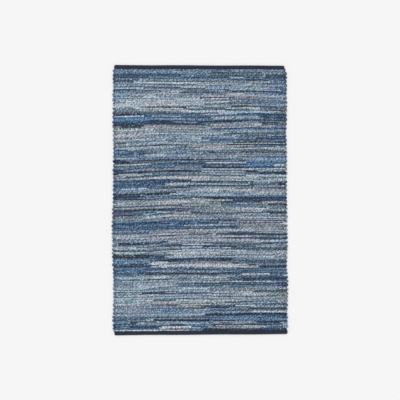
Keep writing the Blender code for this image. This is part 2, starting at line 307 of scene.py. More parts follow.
CHART = {
    # cloth: rows of rag that show, as (first row, rows deep, from, to), in centimetres across
    "ash": ((0, 2, 45, 58), (20, 2, 28, 60), (25, 3, 5, 25), (40, 2, 20, 36), (66, 2, 0, 20),
        (75, 4, 0, 34), (93, 3, 85, 92), (105, 2, 6, 35), (105, 3, 46, 86), (109, 3, 69, 83),
        (111, 3, 28, 40), (116, 3, 74, 92), (119, 2, 0, 60), (122, 2, 38, 62), (129, 2, 4, 40),
        (135, 4, 48, 80), (142, 4, 66, 92), (143, 3, 0, 27), (155, 2, 66, 90), (156, 1, 45, 68),
        (162, 1, 54, 80), (162, 2, 38, 56), (173, 2, 20, 40), (173, 3, 2, 14), (178, 4, 60, 90),
        (179, 2, 30, 56), (202, 3, 6, 28), (202, 3, 28, 62), (213, 3, 34, 48), (216, 2, 34, 70),
        (218, 4, 12, 34)),
    "mist": ((3, 1, 0, 33), (41, 2, 36, 84), (60, 2, 62, 92), (68, 2, 20, 40), (70, 3, 4, 30),
        (83, 2, 16, 44), (151, 2, 45, 60), (174, 2, 12, 40), (197, 2, 35, 60), (207, 6, 0, 8),
        (247, 2, 10, 45)),
    "sky": ((1, 2, 0, 30), (15, 4, 48, 70), (24, 9, 0, 6), (44, 3, 19, 36), (49, 1, 50, 88),
        (87, 1, 70, 90), (88, 1, 66, 90), (174, 3, 45, 56), (246, 3, 0, 10), (247, 5, 86, 92)),
    "lavender": ((16, 2, 78, 88), (51, 1, 30, 42), (54, 2, 14, 60), (61, 1, 0, 45), (104, 5, 0, 6),
        (130, 2, 60, 79), (135, 2, 0, 45), (178, 2, 62, 84), (196, 2, 20, 35), (214, 2, 58, 79),
        (233, 5, 0, 20)),
    "rose": ((47, 1, 50, 74), (48, 1, 52, 66), (83, 2, 40, 70), (139, 2, 25, 40), (152, 3, 66, 90),
        (164, 3, 15, 36), (167, 2, 30, 70), (172, 2, 77, 90), (188, 1, 25, 62), (230, 2, 72, 92),
        (246, 2, 50, 74), (250, 3, 52, 78)),
    "blush": ((29, 1, 46, 60), (35, 1, 17, 37), (35, 2, 0, 22), (38, 1, 12, 38), (38, 1, 61, 76),
        (64, 2, 0, 12), (91, 1, 45, 66), (93, 1, 4, 16), (103, 1, 8, 20), (105, 2, 20, 48),
        (121, 2, 30, 36), (177, 1, 23, 36), (190, 1, 24, 70), (191, 1, 22, 62), (192, 2, 22, 72),
        (199, 2, 68, 81), (225, 1, 52, 71), (251, 2, 26, 45)),
    "cream": ((8, 1, 59, 68), (13, 1, 10, 22), (13, 2, 36, 45), (24, 1, 60, 68), (31, 1, 6, 12),
        (41, 1, 37, 60), (46, 1, 0, 19), (59, 1, 0, 18), (77, 1, 40, 90), (97, 1, 43, 90),
        (104, 1, 50, 84), (108, 1, 39, 47), (126, 1, 41, 46), (143, 1, 18, 43), (161, 1, 45, 54),
        (165, 1, 3, 30), (179, 2, 0, 16), (182, 1, 29, 40), (188, 3, 19, 29), (207, 1, 53, 81),
        (235, 1, 40, 48), (236, 1, 71, 89), (255, 1, 0, 26)),
    "foam": ((15, 4, 70, 78), (27, 3, 30, 45), (52, 2, 60, 68), (64, 4, 19, 38), (77, 2, 28, 44),
        (78, 1, 5, 35), (81, 3, 20, 27), (86, 2, 0, 12), (110, 3, 45, 70), (163, 1, 78, 90),
        (180, 2, 18, 30), (225, 4, 0, 14)),
    "tan": ((13, 2, 48, 80), (54, 3, 45, 54), (74, 2, 38, 60), (96, 2, 30, 43), (120, 1, 40, 80),
        (229, 1, 32, 52)),
    "olive": ((79, 1, 55, 80), (130, 3, 45, 56), (158, 1, 20, 29), (218, 3, 79, 88), (227, 2, 32, 55)),
    "rust": ((57, 1, 16, 45), (223, 1, 54, 62)),
    # The first slate entry, a whole row beside the top tape, is painted shade in the furrow there.
    "slate": ((0, 1, 0, 92), (4, 2, 41, 70), (6, 2, 45, 76), (10, 2, 0, 14), (19, 3, 0, 27),
        (21, 2, 0, 20), (24, 1, 45, 58), (29, 1, 78, 92), (33, 2, 58, 84), (38, 2, 38, 60),
        (38, 3, 0, 13), (38, 3, 78, 90), (43, 2, 45, 92), (52, 3, 75, 90), (64, 2, 62, 80),
        (68, 2, 62, 80), (75, 2, 62, 82), (76, 2, 32, 45), (79, 1, 18, 45), (80, 2, 45, 62),
        (89, 2, 20, 45), (94, 2, 0, 15), (101, 1, 20, 45), (110, 1, 42, 69), (111, 2, 70, 84),
        (125, 2, 14, 47), (128, 1, 50, 92), (131, 3, 57, 79), (138, 1, 80, 92), (142, 1, 40, 58),
        (169, 3, 54, 80), (173, 3, 58, 92), (185, 2, 62, 86), (188, 2, 62, 90), (189, 1, 28, 60),
        (205, 2, 0, 12), (214, 1, 18, 34), (215, 1, 45, 57), (215, 3, 73, 90), (221, 1, 50, 85),
        (224, 2, 20, 32), (230, 1, 42, 62), (234, 2, 50, 72), (241, 2, 0, 20), (244, 2, 0, 22),
        (249, 1, 15, 30)),
    "charcoal": ((5, 2, 78, 90), (11, 1, 13, 60), (22, 1, 35, 61), (40, 1, 45, 54), (40, 1, 61, 74),
        (41, 4, 0, 13), (44, 2, 0, 18), (57, 2, 53, 90), (67, 1, 74, 90), (71, 1, 62, 90),
        (81, 1, 12, 24), (90, 1, 10, 20), (103, 1, 46, 72), (113, 1, 45, 69), (115, 2, 25, 45),
        (132, 2, 78, 92), (140, 1, 45, 79), (183, 2, 0, 20), (205, 1, 16, 30), (224, 1, 35, 54),
        (230, 1, 20, 35), (253, 1, 10, 42)),
    "bark": ((11, 1, 70, 84), (27, 1, 46, 61), (56, 2, 3, 18), (57, 1, 12, 45), (74, 1, 11, 30),
        (88, 1, 10, 45), (96, 1, 20, 32), (133, 1, 0, 38), (144, 1, 27, 40), (233, 1, 35, 45)),
    "teal": ((81, 2, 27, 36), (92, 3, 20, 32), (139, 4, 14, 24), (171, 1, 28, 35), (187, 2, 4, 16),
        (210, 3, 34, 60), (242, 3, 78, 90), (251, 2, 78, 86)),
    "mid": ((5, 3, 35, 46), (48, 2, 22, 45), (59, 1, 45, 90), (67, 3, 45, 62), (70, 2, 43, 62),
        (80, 3, 12, 22), (83, 2, 0, 12), (85, 1, 66, 90), (95, 3, 0, 20), (115, 4, 0, 20),
        (186, 4, 2, 18), (195, 3, 4, 20), (236, 1, 20, 50), (241, 3, 50, 76), (248, 1, 70, 86)),
    "cerulean": ((47, 5, 0, 20), (79, 3, 0, 9), (92, 3, 66, 85), (149, 3, 30, 45), (249, 2, 36, 50)),
    "denim": ((5, 4, 0, 35), (7, 4, 78, 90), (32, 1, 78, 92), (44, 3, 48, 78), (65, 6, 80, 90),
        (85, 2, 78, 92), (92, 3, 32, 68), (111, 2, 0, 12), (112, 2, 14, 27), (113, 3, 0, 25),
        (126, 2, 60, 92), (147, 2, 25, 62), (154, 2, 10, 50), (169, 2, 78, 88), (192, 4, 0, 20),
        (203, 2, 64, 90), (210, 2, 58, 90), (242, 1, 20, 45), (254, 1, 0, 30)),
    "deep": ((7, 2, 2, 18), (44, 4, 76, 92), (50, 3, 45, 60), (52, 4, 0, 10), (74, 1, 30, 45),
        (79, 4, 0, 12), (80, 1, 45, 54), (91, 2, 24, 45), (108, 2, 30, 42), (108, 4, 20, 30),
        (110, 4, 12, 22), (111, 6, 0, 12), (139, 2, 78, 92), (192, 1, 0, 20), (249, 1, 50, 85),
        (252, 2, 0, 9)),
    "plum": ((98, 6, 0, 6), (101, 2, 68, 76), (129, 3, 56, 78), (139, 3, 0, 24), (147, 2, 25, 45)),
    "navy": ((3, 1, 45, 57), (3, 1, 57, 77), (10, 1, 58, 78), (20, 1, 0, 27), (45, 1, 0, 14),
        (50, 1, 19, 45), (53, 1, 12, 52), (53, 2, 8, 19), (87, 2, 40, 66), (88, 4, 0, 10),
        (99, 2, 0, 7), (99, 2, 12, 43), (99, 4, 68, 75), (100, 2, 2, 14), (100, 3, 75, 92),
        (109, 1, 40, 69), (111, 3, 83, 90), (113, 1, 69, 90), (121, 2, 14, 34), (122, 2, 0, 16),
        (124, 1, 14, 40), (124, 4, 0, 14), (125, 1, 38, 60), (125, 2, 47, 92), (126, 1, 47, 92),
        (138, 1, 2, 26), (148, 1, 62, 90), (150, 3, 0, 25), (153, 1, 50, 66), (156, 1, 5, 45),
        (160, 2, 54, 92), (162, 1, 18, 32), (169, 3, 3, 28), (172, 1, 28, 75), (173, 1, 48, 64),
        (177, 1, 0, 10), (183, 1, 20, 33), (185, 3, 23, 62), (192, 2, 78, 92), (196, 1, 35, 62),
        (199, 2, 16, 67), (204, 1, 64, 90), (205, 2, 66, 90), (208, 1, 53, 78), (208, 2, 78, 90),
        (211, 2, 84, 90), (227, 1, 59, 74), (233, 1, 50, 58), (233, 1, 71, 92), (238, 2, 48, 92),
        (249, 2, 26, 50), (253, 3, 62, 92)),
    "ink": ((22, 1, 61, 87), (36, 1, 60, 72), (37, 1, 15, 36), (50, 1, 50, 88), (73, 1, 58, 90),
        (88, 1, 42, 62), (95, 1, 45, 66), (99, 1, 25, 43), (131, 1, 80, 88), (136, 1, 20, 42),
        (137, 1, 4, 30), (139, 1, 83, 92), (160, 1, 42, 53), (164, 1, 58, 90), (182, 1, 0, 18),
        (186, 1, 24, 60), (190, 1, 70, 77), (206, 1, 53, 64), (209, 1, 41, 78), (219, 1, 11, 31),
        (238, 1, 62, 92), (239, 1, 48, 70), (244, 2, 22, 50), (245, 1, 55, 64), (246, 1, 8, 22),
        (253, 3, 46, 66), (255, 1, 45, 60)),
}

CHART_SEED = 5
RAG_LENGTHS = (8, 50)  # the shortest and longest random rag, in centimetres
END_SPREAD = 1.8  # how far the rags' ends stray from the chart, in centimetres
MIDDLE_CM = 45  # an end that the chart puts in the middle of the rug strays further
MIDDLE_SPREAD = 5.0

FRAY_THREADS = 5  # loose threads for each torn shred
FRAY_LENGTHS = (0.003, 0.008)
FRAY_TONES = (0.2, 0.8)
FRAY_MARGIN = 0.004  # clear of the tapes
SHRED_WIDTHS = (0.0006, 0.0013)  # half of each, as are the next two
SHRED_HEIGHT = 0.0002
THREAD_RADIUS = 0.00021
SHRED_ANGLE = 0.3  # how far its direction strays from the rag's, in radians
SHRED_BEND = 0.1  # how far its middle strays, as a share of its length
SHRED_DROP = 0.0009  # how far its ends sink into the cloth
THREAD_RISE = 0.0002  # how far a loose thread lies above the pick's crown
THREAD_ANGLE = 0.7
THREAD_BEND = 0.2
THREAD_DROP = 0.0006
THREAD_SCATTER = (0.0018, 0.0011)  # across and along the rug, round the shred
FRAYED = (
    # (first row, last row, from, to, how many tufts), where torn edges stand out of the cloth
    (0, 255, 1, 89, 420),
    (11, 14, 5, 34, 14),
    (7, 8, 60, 66, 6),
    (23, 28, 58, 78, 10),
    (29, 35, 6, 24, 14),
    (36, 47, 10, 40, 26),
    (52, 61, 60, 90, 12),
    (64, 80, 0, 38, 26),
    (75, 77, 28, 34, 5),
    (76, 77, 82, 88, 4),
    (96, 108, 40, 72, 34),
    (103, 105, 80, 84, 4),
    (120, 127, 40, 48, 10),
    (128, 143, 8, 48, 34),
    (128, 132, 76, 86, 8),
    (160, 168, 10, 30, 24),
    (176, 182, 4, 46, 16),
    (190, 206, 2, 74, 48),
    (190, 192, 20, 26, 6),
    (226, 232, 68, 80, 10),
)


# ---------------------------------------------------------------- layout of the weave
def eased(t):
    return t * t * (3.0 - 2.0 * t)


def slanted(x, y):
    """Places along the rug, with both ends drawn inwards towards the right, as in the solids."""
    across = (x - SIDE_SHIFT) / (2 * HALF_WIDTH) + 0.5
    up = y / RUG_LENGTH + 0.5
    return y + across * (BOTTOM_SLANT * (1.0 - up) - TOP_SLANT * up)


def selvedge(distance, column):
    """Half the width on one side (column 1 is left, 2 is right), some way from the top end."""
    for row, following in zip(SELVEDGES, SELVEDGES[1:]):
        if distance <= following[0]:
            t = (distance - row[0]) / (following[0] - row[0])
            return HALF_WIDTH + row[column] + eased(t) * (following[column] - row[column])
    return HALF_WIDTH + SELVEDGES[-1][column]


class Weave:
    """The same picks as in the solids: their thickness, their crowns and their turns."""

    def __init__(self):
        dice = random.Random(SEED)
        self.rags = [
            # (mean weight, how far it drifts on its way across, in how many waves, where they start)
            (1.0 + WEIGHT_SPREAD * dice.uniform(-1, 1), WEIGHT_DRIFT * dice.uniform(0.2, 1),
             dice.uniform(0.5, 1.5), dice.random())
            for _ in range(PICKS)
        ]
        self.crowns = [RUG_THICKNESS - CROWN_SPREAD * dice.random() for _ in range(PICKS)]
        self.turns = [
            [TURN_DEPTH * (1.0 + TURN_SPREAD * dice.uniform(-1, 1)) for _ in range(PICKS)]
            for _ in range(2)
        ]
        self.furrow = self.furrows(self.across(self.nodes()))

    def nodes(self):
        """Places across the rug: at every warp, and halfway between each two."""
        dice = np.random.RandomState(SEED)
        even = (np.arange(2 * WARPS - 1) - (WARPS - 1)) * WARP_PITCH / 2
        return even + dice.uniform(-WARP_JITTER, WARP_JITTER, len(even)) + SIDE_SHIFT

    def across(self, x):
        inner = 2 * (HALF_WIDTH - EDGE_MARGIN)
        return np.clip((x - SIDE_SHIFT + inner / 2) / inner, 0.0, 1.0)

    def furrows(self, across):
        """The furrows' places along the rug, a line for each, at these places across it."""
        mean, drift, waves, start = np.transpose(self.rags)[:, :, None]
        weights = mean + drift * np.sin(2 * math.pi * (waves * across + start))
        filled = np.vstack([np.zeros_like(across), np.cumsum(weights, axis=0)])
        sag = BOW * (1.0 - eased(np.minimum(across / BOW_REACH, 1.0)))
        bell = np.sin(math.pi * np.arange(PICKS + 1) / PICKS)[:, None] ** 2
        return WOVEN_LENGTH / 2 - filled / filled[-1] * WOVEN_LENGTH - sag * bell

    def edge(self, side, pick):
        """The place across of the crown of the turn that starts at a pick."""
        distance = (RUG_LENGTH - WOVEN_LENGTH) / 2 + WOVEN_LENGTH * (pick + 1) / PICKS
        bulge = TURN_CROWN * self.turns[side][(pick + side) // 2]
        reach = selvedge(distance, side + 1) + bulge
        return SIDE_SHIFT + (reach if side else -reach)


def own_dice(*thing):
    """Dice for one row or patch of the chart, so that it comes out the same whatever else changes."""
    return random.Random(f"{CHART_SEED} {thing}")


def rag_chart(weave):
    """The cloth that shows in each row of rag and cell across the rug, as an index in NAMES."""
    x = SIDE_SHIFT - HALF_WIDTH + CELL * (np.arange(CELLS) + 0.5)
    lines = slanted(x, weave.furrows(weave.across(x)))
    middles = np.stack([0.75 * lines[:-1] + 0.25 * lines[1:], 0.25 * lines[:-1] + 0.75 * lines[1:]], 1)
    level = (0.5 - middles.reshape(ROWS, CELLS) / WOVEN_LENGTH) * ROWS

    def rows_at(first, deep, start, stop):
        """The rows that lie where the chart counts these, between two places across."""
        mean = level[:, start:stop].mean(axis=1)
        if deep == 1:
            return [int(np.abs(mean - first - 0.5).argmin())]
        return np.flatnonzero((mean > first) & (mean < first + deep)).tolist()

    def stray(place, dice):
        """A rag's end near a place that the chart gives. At the selvedges it stays."""
        if place <= 0 or place >= RIGHT_CM:
            return 0 if place <= 0 else CELLS
        spread = MIDDLE_SPREAD if place == MIDDLE_CM else END_SPREAD
        return min(max(place + round(dice.gauss(0, spread)), 1), CELLS)

    mixes = list(MIXES)
    mix_at = np.zeros((ROWS, CELLS), int)
    for first, last, start, stop, mix in ZONES:
        dice = own_dice(first, start, mix)
        for row in rows_at(first, last + 1 - first, start, stop):
            mix_at[row, stray(start, dice) : stray(stop, dice)] = mixes.index(mix)
    chart = np.zeros((ROWS, CELLS), int)
    for row in range(ROWS):
        dice = own_dice(row)
        cell = 0
        while cell < CELLS:
            end = cell + dice.randint(*RAG_LENGTHS)
            mix = MIXES[mixes[mix_at[row, cell]]]
            chart[row, cell:end] = NAMES.index(dice.choices(list(mix), list(mix.values()))[0])
            cell = end
    patches = [(deep * (stop - start), cloth, first, deep, start, stop)
               for cloth, rags in CHART.items() for first, deep, start, stop in rags]
    for _, cloth, first, deep, start, stop in sorted(patches, reverse=True):
        dice = own_dice(cloth, first, start)
        for row in rows_at(first, deep, start, stop):
            low, high = stray(start, dice), stray(stop, dice)
            chart[row, low:high] = NAMES.index(cloth)
            if deep > 1 and high > low and dice.random() < KIN_SHARE:
                low = dice.randrange(low, high)
                end = min(low + dice.randint(*KIN_LENGTHS), high)
                chart[row, low:end] = NAMES.index(dice.choice(KIN[cloth]))
    return chart


# ---------------------------------------------------------------- meshes
NO_TRIS = np.zeros((0, 3), int)
NO_TRI_MAP = np.zeros((0, 3, 2))
TURNED_OVER = [0, 3, 2, 1]  # a cell's corners in the other order round it
STRIP_GAP = 0.002  # between two strips on the map


def make_mesh(name, points, quads, tris, quad_map, tri_map):
    """A smooth mesh with a map of its own for each corner."""
    points = np.stack([points[:, 0], slanted(points[:, 0], points[:, 1]), points[:, 2]], axis=1)
    mesh = bpy.data.meshes.new(name)
    corners = np.concatenate([quads.ravel(), tris.ravel()]).astype(np.int32)
    starts = np.concatenate([4 * np.arange(len(quads)), 4 * len(quads) + 3 * np.arange(len(tris))])
    mesh.vertices.add(len(points))
    mesh.vertices.foreach_set("co", points.astype(np.float32).ravel())
    mesh.loops.add(len(corners))
    mesh.loops.foreach_set("vertex_index", corners)
    mesh.polygons.add(len(starts))
    mesh.polygons.foreach_set("loop_start", starts.astype(np.int32))
    mesh.update(calc_edges=True)
    places = np.concatenate([quad_map.reshape(-1, 2), tri_map.reshape(-1, 2)])
    layer = mesh.uv_layers.new(name="OFBake")
    layer.uv.foreach_set("vector", places.astype(np.float32).ravel())
    mesh.shade_smooth()
    return mesh


def cells(grid):
    """The four corners of each cell of a grid, in their order round it."""
    return np.stack([grid[:-1, :-1], grid[:-1, 1:], grid[1:, 1:], grid[1:, :-1]], 2)


def closed(index):
    """Rings of points, a row for each, with each ring's first point also at its end."""
    return np.concatenate([index, index[:, :1]], axis=1)


def set_in_rows(sizes):
    """Sets strips of these lengths and heights in rows on a square. Returns corners and scale."""
    area = sum((length + STRIP_GAP) * (height + STRIP_GAP) for length, height in sizes)
    page = max(max(length for length, _ in sizes), math.sqrt(area))
    corners = []
    x = y = tallest = 0.0
    for length, height in sizes:
        if x > 0 and x + length > page:
            x, y, tallest = 0.0, y + tallest + STRIP_GAP, 0.0
        corners.append((x, y))
        x += length + STRIP_GAP
        tallest = max(tallest, height)
    return corners, 1.0 / max(page, y + tallest)


class Tubes:
    """Closed tubes gathered into one mesh, each laid out as a strip of its own in the map."""

    def __init__(self, sides, boxy=1.0):
        self.angles = 2 * math.pi * (np.arange(sides) + 0.5) / sides
        self.sides = sides
        self.boxy = boxy
        self.rings = []
        self.tips = []
        self.shades = []

    def add(self, centre, across, width, height, turn=0.0, ripple=None, shade=0.5):
        """A tube through centre. across is level, and points to the left of the way along it."""
        angle = self.angles + np.reshape(turn, (-1, 1))
        wide, high = np.cos(angle), np.sin(angle)
        wide = np.sign(wide) * np.abs(wide) ** self.boxy * np.reshape(width, (-1, 1))
        high = np.sign(high) * np.abs(high) ** self.boxy * np.reshape(height, (-1, 1))
        if ripple is not None:
            wide, high = wide * ripple, high * ripple
        ring = centre[:, None] + across[:, None] * wide[..., None]
        ring[..., 2] += high
        ring[..., 2] = np.clip(ring[..., 2], FLOOR_GAP, HIGHEST)
        self.rings.append(ring)
        first = centre[0] + TIP * (centre[0] - centre[1])
        last = centre[-1] + TIP * (centre[-1] - centre[-2])
        self.tips.append((first, last))
        self.shades.append(np.zeros((len(centre), self.sides)) + shade)

    def build(self, name, material):
        n = self.sides
        sizes = []
        for ring in self.rings:
            steps = np.linalg.norm(np.diff(ring.mean(axis=1), axis=0), axis=1)
            girth = np.linalg.norm(ring[0] - np.roll(ring[0], 1, axis=0), axis=1).sum()
            sizes.append((steps.sum(), girth))
        corners, scale = set_in_rows(sizes)
        points, quads, tris, quad_map, tri_map, shades = [], [], [], [], [], []
        base = 0
        tubes = zip(self.rings, self.tips, self.shades, sizes, corners)
        for ring, tips, shade, size, corner in tubes:
            count = len(ring)
            points += [ring.reshape(-1, 3), np.array(tips)]
            index = base + np.arange(count * n).reshape(count, n)
            quads.append(cells(closed(index)).reshape(-1, 4))
            start, end = base + count * n, base + count * n + 1
            after = np.roll(index, -1, axis=1)
            tris.append(np.stack([np.full(n, start), after[0], index[0]], -1))
            tris.append(np.stack([np.full(n, end), index[-1], after[-1]], -1))
            along = np.linspace(0, size[0], count)[:, None] + np.zeros(n + 1)
            around = np.linspace(0, size[1], n + 1)[None] + np.zeros((count, 1))
            grid = (np.stack([along, around], -1) + corner) * scale
            quad_map.append(cells(grid).reshape(-1, 4, 2))
            middle = (np.array([[0, size[1] / 2], [size[0], size[1] / 2]]) + corner) * scale
            tri_map.append(np.stack([np.tile(middle[0], (n, 1)), grid[0, 1:], grid[0, :-1]], 1))
            tri_map.append(np.stack([np.tile(middle[1], (n, 1)), grid[-1, :-1], grid[-1, 1:]], 1))
            shades += [shade.ravel(), shade[[0, -1]].mean(axis=1)]
            base += count * n + 2
        mesh = make_mesh(name, np.concatenate(points), np.concatenate(quads), np.concatenate(tris),
                         np.concatenate(quad_map), np.concatenate(tri_map))
        set_shade(mesh, np.concatenate(shades))
        return place(name, mesh, material)


def set_shade(mesh, values):
    """How pale the cloth is at each point, which the materials read: on the rags their own tones with
    painted shade near the left selvedge, and on the tapes painted highlight and shade.
    """
    tone = mesh.attributes.new("shade", "FLOAT", "POINT")
    tone.data.foreach_set("value", values.astype(np.float32).ravel())


def add_object(name, data):
    thing = bpy.data.objects.new(name, data)
    bpy.context.scene.collection.objects.link(thing)
    return thing


def place(name, mesh, material):
    mesh.materials.append(material)
    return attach(add_object(name, mesh), "root")


# ---------------------------------------------------------------- materials
def linear(colour):
    """A colour given in the usual 0 to 255 as the shader wants it."""
    parts = [c / 255 for c in colour]
    return [c / 12.92 if c <= 0.04045 else ((c + 0.055) / 1.055) ** 2.4 for c in parts] + [1.0]


class Shader:
    """A material's nodes, made and joined in one call each."""

    def __init__(self, name, roughness, sheen, specular=0.2):
        self.material = bpy.data.materials.new(name)
        self.material.use_nodes = True
        self.tree = self.material.node_tree
        self.surface = self.tree.nodes["Principled BSDF"]
        self.surface.inputs["Roughness"].default_value = roughness
        self.surface.inputs["Specular IOR Level"].default_value = specular
        self.surface.inputs["Sheen Weight"].default_value = sheen
        self.surface.inputs["Sheen Roughness"].default_value = 0.6

    def node(self, kind, sockets=(), **settings):
        made = self.tree.nodes.new(kind)
        for key, value in settings.items():
            setattr(made, key, value)
        for key, value in dict(sockets).items():
            if isinstance(value, bpy.types.NodeSocket):
                self.tree.links.new(value, made.inputs[key])
            else:
                made.inputs[key].default_value = value
        return made

    def object_place(self):
        return self.node("ShaderNodeTexCoord").outputs["Object"]

    def shade(self):
        return self.node("ShaderNodeAttribute", attribute_name="shade").outputs["Fac"]

    def noise(self, vector, scale, detail=2.0, stretch=(1.0, 1.0, 1.0)):
        """Noise with this many features to a metre, less where stretch is under 1."""
        spread = self.node("ShaderNodeMapping", {"Vector": vector, "Scale": stretch})
        sockets = {"Vector": spread.outputs[0], "Scale": scale, "Detail": detail}
        return self.node("ShaderNodeTexNoise", sockets).outputs["Fac"]

    def sum(self, first, second, weight):
        """first plus weight times second."""
        sockets = {0: second, 1: weight, 2: first}
        return self.node("ShaderNodeMath", sockets, operation="MULTIPLY_ADD").outputs[0]

    def range(self, value, low, high, to_low=0.0, to_high=1.0):
        sockets = {"Value": value, "From Min": low, "From Max": high,
                   "To Min": to_low, "To Max": to_high}
        return self.node("ShaderNodeMapRange", sockets).outputs["Result"]

    def spread(self, noise, to_low, to_high):
        """Noise spread over this range. Most of it lies between 0.3 and 0.7."""
        return self.range(noise, 0.3, 0.7, to_low, to_high)

    def twill(self, vector, angle, sockets):
        """A twill's ridges, at this angle to the rug's width."""
        slant = self.node("ShaderNodeMapping", {"Vector": vector, "Rotation": (0.0, 0.0, angle)})
        sockets = {"Vector": slant.outputs[0], **sockets}
        return self.node("ShaderNodeTexWave", sockets).outputs["Fac"]

    def ramp(self, value, stops):
        made = self.node("ShaderNodeValToRGB", {"Fac": value})
        band = made.color_ramp
        while len(band.elements) < len(stops):
            band.elements.new(0.5)
        for element, (at, colour) in zip(band.elements, stops):
            element.position = at
            element.color = linear(colour)
        return made.outputs["Color"]

    def mix(self, factor, first, second, how="MIX"):
        made = self.node("ShaderNodeMix", {0: factor, 6: first, 7: second},
                         data_type="RGBA", blend_type=how)
        return made.outputs[2]

    def finish(self, colour, height, strength, distance):
        self.tree.links.new(colour, self.surface.inputs["Base Color"])
        bump = self.node("ShaderNodeBump", {"Height": height, "Strength": strength,
                                            "Distance": distance})
        self.tree.links.new(bump.outputs["Normal"], self.surface.inputs["Normal"])
        return self.material


def rag_material(name):
    """Torn cloth: streaks along the rag, mottling, a twill's ridges and ragged pale flecks."""
    colour, pale, dark, flecks = CLOTHS[name]
    s = Shader(f"rag_{name}", roughness=0.9, sheen=0.12)
    where = s.object_place()
    streak = s.noise(where, 1.0, 3.0, stretch=(18.0, 190.0, 190.0))
    mottle = s.noise(where, 170.0, 3.0)
    lint = s.noise(where, 900.0, 2.0)
    tone = s.sum(s.spread(mottle, -0.25, 0.25), s.spread(streak, -0.3, 0.3), 1.0)
    tone = s.sum(s.sum(tone, s.shade(), 1.0), s.spread(lint, -0.12, 0.12), 1.0)
    worn = s.ramp(tone, [(0.0, dark), (0.5, colour), (1.0, pale)])
    tinge = s.noise(where, 1.0, 2.0, stretch=(16.0, 90.0, 90.0))
    worn = s.mix(s.range(tinge, 0.52, 0.66, 0.0, 0.5), worn, linear((236, 255, 242)), "MULTIPLY")
    worn = s.mix(s.range(tinge, 0.48, 0.34, 0.0, 0.5), worn, linear((255, 243, 244)), "MULTIPLY")
    fuzz = s.noise(where, 1.0, 2.0, stretch=(300.0, 1500.0, 1500.0))
    ragged = s.sum(s.noise(where, 1.0, 4.0, stretch=(110.0, 200.0, 200.0)), fuzz, 0.45)
    frayed = s.range(ragged, 0.79, 0.91, 0.0, flecks)
    whitened = s.mix(frayed, worn, linear((212, 222, 231)))
    twill = s.twill(where, 0.7, {"Scale": 480.0, "Distortion": 3.0, "Detail Scale": 0.4})
    folds = s.sum(streak, mottle, 0.6)
    height = s.sum(s.sum(folds, twill, 0.10), lint, 0.22)
    return s.finish(whitened, height, 0.8, 0.0009)


def warp_material(name, colour, dark):
    s = Shader(name, roughness=0.85, sheen=0.1)
    where = s.object_place()
    ply = s.node("ShaderNodeTexWave", {"Vector": where, "Scale": 260.0, "Distortion": 2.0},
                 bands_direction="DIAGONAL").outputs["Fac"]
    lint = s.noise(where, 320.0, 2.0)
    tone = s.sum(s.spread(lint, 0.0, 0.6), ply, 0.4)
    return s.finish(s.ramp(tone, [(0.1, dark), (0.9, colour)]), ply, 0.5, 0.0004)


def fray_material():
    """The undyed cotton that shows where a rag was torn."""
    s = Shader("frayed_cotton", roughness=0.95, sheen=0.15)
    where = s.object_place()
    lint = s.noise(where, 420.0, 2.0)
    tone = s.sum(s.spread(lint, -0.2, 0.2), s.shade(), 1.0)
    colour = s.ramp(tone, [(0.0, (172, 186, 198)), (1.0, (232, 238, 243))])
    return s.finish(colour, lint, 0.5, 0.0005)


def tape_material():
    """Close navy tape: a fine twill, a little lint, and a painted highlight along its crown with
    painted shade at its seam and fold.
    """
    s = Shader("navy_tape_cloth", roughness=0.86, sheen=0.12)
    where = s.object_place()
    twill = s.twill(where, 0.9, {"Scale": 420.0, "Distortion": 0.6})
    lint = s.noise(where, 260.0, 3.0)
    streak = s.noise(where, 1.0, 2.0, stretch=(24.0, 160.0, 160.0))
    tone = s.sum(s.spread(lint, 0.0, 0.2), s.spread(streak, 0.0, 0.2), 1.0)
    # the shade attribute here carries the tape's painted highlight and shade
    tone = s.sum(s.sum(tone, s.shade(), 0.55), twill, 0.1)
    colour = s.ramp(tone, [(0.0, (19, 23, 34)), (0.4, (28, 34, 50)), (0.95, (47, 53, 78))])
    return s.finish(colour, s.sum(twill, lint, 0.6), 0.5, 0.0004)


# ---------------------------------------------------------------- the weft
def smooth_noise(dice, count, columns, reach):
    """Random numbers from about -1 to 1, each evened out over this many rows on both sides."""
    raw = dice.normal(size=(count + 2 * reach, columns))
    window = np.hanning(2 * reach + 1)
    window /= math.sqrt((window**2).sum())
    return np.stack([np.convolve(raw[:, c], window, "same")[reach:-reach]
                     for c in range(columns)], axis=1)


